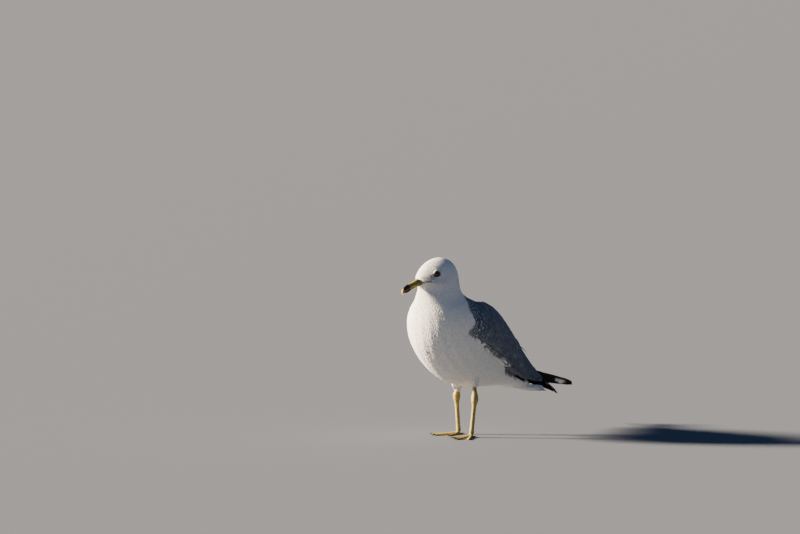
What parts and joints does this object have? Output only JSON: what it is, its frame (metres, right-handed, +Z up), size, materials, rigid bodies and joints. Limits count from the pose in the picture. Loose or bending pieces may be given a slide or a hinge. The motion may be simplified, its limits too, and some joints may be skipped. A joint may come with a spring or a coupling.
{
  "type": "standing gull model",
  "caption": "Life-size still model of an adult ring-billed gull, standing upright with wings folded and head turned slightly to its right.",
  "frame": {"origin": "on the floor, under the middle of the whole bird's bounding box", "axes": "+Z up, the bird's body faces -Y, its left side is +X"},
  "size_m": [0.1298, 0.3912, 0.2739],
  "materials": {
    "white_plumage": "matte white feathers",
    "grey_plumage": "matte blue-grey feathers",
    "black_plumage": "satin black feathers",
    "bill_horn": "satin yellow horn with a black ring",
    "claw_horn": "satin dark horn",
    "leg_skin": "scaled yellow skin",
    "eye": "wet dark brown"
  },
  "bodies": {
    "root": {"head": "white_plumage", "neck": "white_plumage", "trunk": "white_plumage", "eye_left": "eye", "eye_right": "eye", "bill_upper": "bill_horn", "bill_lower": "bill_horn", "tail": "white_plumage", "wing_left": "grey_plumage", "wing_right": "grey_plumage", "tertials_left": "grey_plumage", "tertials_right": "grey_plumage", "primaries_left": "black_plumage", "primaries_right": "black_plumage", "loose_feather": "grey_plumage", "thigh_left": "white_plumage", "thigh_right": "white_plumage", "leg_left": "leg_skin", "leg_right": "leg_skin", "foot_left": "leg_skin", "foot_right": "leg_skin", "claw_left_inner": "claw_horn", "claw_left_middle": "claw_horn", "claw_left_outer": "claw_horn", "claw_left_hind": "claw_horn", "claw_right_inner": "claw_horn", "claw_right_middle": "claw_horn", "claw_right_outer": "claw_horn", "claw_right_hind": "claw_horn"}
  },
  "joints": []
}
